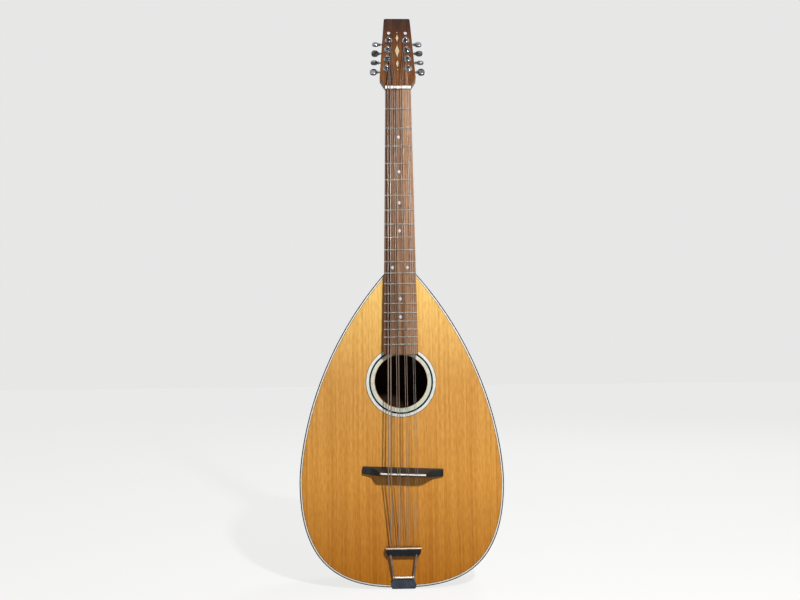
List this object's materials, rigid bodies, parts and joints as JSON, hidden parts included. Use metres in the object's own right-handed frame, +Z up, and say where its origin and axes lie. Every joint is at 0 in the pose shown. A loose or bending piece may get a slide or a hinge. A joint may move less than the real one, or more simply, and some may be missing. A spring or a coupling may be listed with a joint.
{
  "type": "mandocello",
  "caption": "Flat-topped, teardrop-bodied plucked instrument with paired strings, floating bridge, trapeze tailpiece and geared tuners.",
  "frame": {"origin": "the point it is held up by: mid width and mid thickness of the headstock, between its shoulders", "axes": "+Z up the neck towards the headstock, +X towards the treble side, -Y out of the soundboard"},
  "size_m": [0.3364, 0.1122, 0.9889],
  "materials": {
    "spruce": "satin lacquer, amber",
    "mahogany": "satin lacquer, red-brown",
    "walnut": "satin lacquer, dark red-brown",
    "rosewood": "oiled, with nickel frets and pearl diamonds",
    "ebony": "satin black",
    "inner_wood": "bare, sanded",
    "bone": "polished bone",
    "black_binding": "polished black with a white line",
    "pearl_rosette": "polished pale and black rings",
    "chrome": "polished",
    "steel": "plated",
    "bronze_string": "wound",
    "plain_string": "drawn wire"
  },
  "bodies": {
    "instrument": {"back": "mahogany", "back_brace_1": "inner_wood", "binding_back": "black_binding", "binding_top": "black_binding", "bridge": "ebony", "fretboard": "rosewood", "headstock_faceplate": "walnut", "neck": "mahogany", "neck_block": "inner_wood", "nut": "bone", "rosette": "pearl_rosette", "saddle": "bone", "sides": "mahogany", "soundboard": "spruce", "string_1": "bronze_string", "string_2": "bronze_string", "string_3": "bronze_string", "string_4": "bronze_string", "string_5": "bronze_string", "string_6": "bronze_string", "string_7": "plain_string", "string_8": "plain_string", "tail_block": "inner_wood", "tailpiece_base": "steel", "tailpiece_trapeze": "chrome", "top_brace_1": "inner_wood", "top_brace_2": "inner_wood", "truss_rod": "steel", "tuner_bushing_1": "chrome", "tuner_bushing_2": "chrome", "tuner_bushing_3": "chrome", "tuner_bushing_4": "chrome", "tuner_bushing_5": "chrome", "tuner_bushing_6": "chrome", "tuner_bushing_7": "chrome", "tuner_bushing_8": "chrome", "tuner_housing_1": "chrome", "tuner_housing_2": "chrome", "tuner_housing_3": "chrome", "tuner_housing_4": "chrome", "tuner_housing_5": "chrome", "tuner_housing_6": "chrome", "tuner_housing_7": "chrome", "tuner_housing_8": "chrome"},
    "button_1": {"tuner_button_1": "chrome"},
    "button_2": {"tuner_button_2": "chrome"},
    "button_3": {"tuner_button_3": "chrome"},
    "button_4": {"tuner_button_4": "chrome"},
    "button_5": {"tuner_button_5": "chrome"},
    "button_6": {"tuner_button_6": "chrome"},
    "button_7": {"tuner_button_7": "chrome"},
    "button_8": {"tuner_button_8": "chrome"},
    "post_1": {"tuner_post_1": "steel"},
    "post_2": {"tuner_post_2": "steel"},
    "post_3": {"tuner_post_3": "steel"},
    "post_4": {"tuner_post_4": "steel"},
    "post_5": {"tuner_post_5": "steel"},
    "post_6": {"tuner_post_6": "steel"},
    "post_7": {"tuner_post_7": "steel"},
    "post_8": {"tuner_post_8": "steel"}
  },
  "joints": [
    {"name": "button_1_turn", "type": "hinge", "parent": "instrument", "child": "button_1", "pos_m": [-0.01926, 0.01895, 0.03012], "axis": [-1, 0, 0], "continuous": true},
    {"name": "button_2_turn", "type": "hinge", "parent": "instrument", "child": "button_2", "pos_m": [-0.01793, 0.024, 0.04968], "axis": [-1, 0, 0], "continuous": true},
    {"name": "button_3_turn", "type": "hinge", "parent": "instrument", "child": "button_3", "pos_m": [-0.01659, 0.02906, 0.06924], "axis": [-1, 0, 0], "continuous": true},
    {"name": "button_4_turn", "type": "hinge", "parent": "instrument", "child": "button_4", "pos_m": [-0.01525, 0.03412, 0.08879], "axis": [-1, 0, 0], "continuous": true},
    {"name": "button_5_turn", "type": "hinge", "parent": "instrument", "child": "button_5", "pos_m": [0.01525, 0.03412, 0.08879], "axis": [1, 0, 0], "continuous": true},
    {"name": "button_6_turn", "type": "hinge", "parent": "instrument", "child": "button_6", "pos_m": [0.01659, 0.02906, 0.06924], "axis": [1, 0, 0], "continuous": true},
    {"name": "button_7_turn", "type": "hinge", "parent": "instrument", "child": "button_7", "pos_m": [0.01793, 0.024, 0.04968], "axis": [1, 0, 0], "continuous": true},
    {"name": "button_8_turn", "type": "hinge", "parent": "instrument", "child": "button_8", "pos_m": [0.01926, 0.01895, 0.03012], "axis": [1, 0, 0], "continuous": true},
    {"name": "post_1_turn", "type": "hinge", "parent": "instrument", "child": "post_1", "pos_m": [-0.01926, -0.00011, 0.02812], "axis": [0, 0.9681, -0.2504], "continuous": true},
    {"name": "post_2_turn", "type": "hinge", "parent": "instrument", "child": "post_2", "pos_m": [-0.01793, 0.00495, 0.04768], "axis": [0, 0.9681, -0.2504], "continuous": true},
    {"name": "post_3_turn", "type": "hinge", "parent": "instrument", "child": "post_3", "pos_m": [-0.01659, 0.01, 0.06724], "axis": [0, 0.9681, -0.2504], "continuous": true},
    {"name": "post_4_turn", "type": "hinge", "parent": "instrument", "child": "post_4", "pos_m": [-0.01525, 0.01506, 0.08679], "axis": [0, 0.9681, -0.2504], "continuous": true},
    {"name": "post_5_turn", "type": "hinge", "parent": "instrument", "child": "post_5", "pos_m": [0.01525, 0.01506, 0.08679], "axis": [0, 0.9681, -0.2504], "continuous": true},
    {"name": "post_6_turn", "type": "hinge", "parent": "instrument", "child": "post_6", "pos_m": [0.01659, 0.01, 0.06724], "axis": [0, 0.9681, -0.2504], "continuous": true},
    {"name": "post_7_turn", "type": "hinge", "parent": "instrument", "child": "post_7", "pos_m": [0.01793, 0.00495, 0.04768], "axis": [0, 0.9681, -0.2504], "continuous": true},
    {"name": "post_8_turn", "type": "hinge", "parent": "instrument", "child": "post_8", "pos_m": [0.01926, -0.00011, 0.02812], "axis": [0, 0.9681, -0.2504], "continuous": true}
  ],
  "couplings": [
    {"joint": "post_1_turn", "follows": "button_1_turn", "ratio": -0.071429},
    {"joint": "post_2_turn", "follows": "button_2_turn", "ratio": -0.071429},
    {"joint": "post_3_turn", "follows": "button_3_turn", "ratio": -0.071429},
    {"joint": "post_4_turn", "follows": "button_4_turn", "ratio": -0.071429},
    {"joint": "post_5_turn", "follows": "button_5_turn", "ratio": -0.071429},
    {"joint": "post_6_turn", "follows": "button_6_turn", "ratio": -0.071429},
    {"joint": "post_7_turn", "follows": "button_7_turn", "ratio": -0.071429},
    {"joint": "post_8_turn", "follows": "button_8_turn", "ratio": -0.071429}
  ]
}
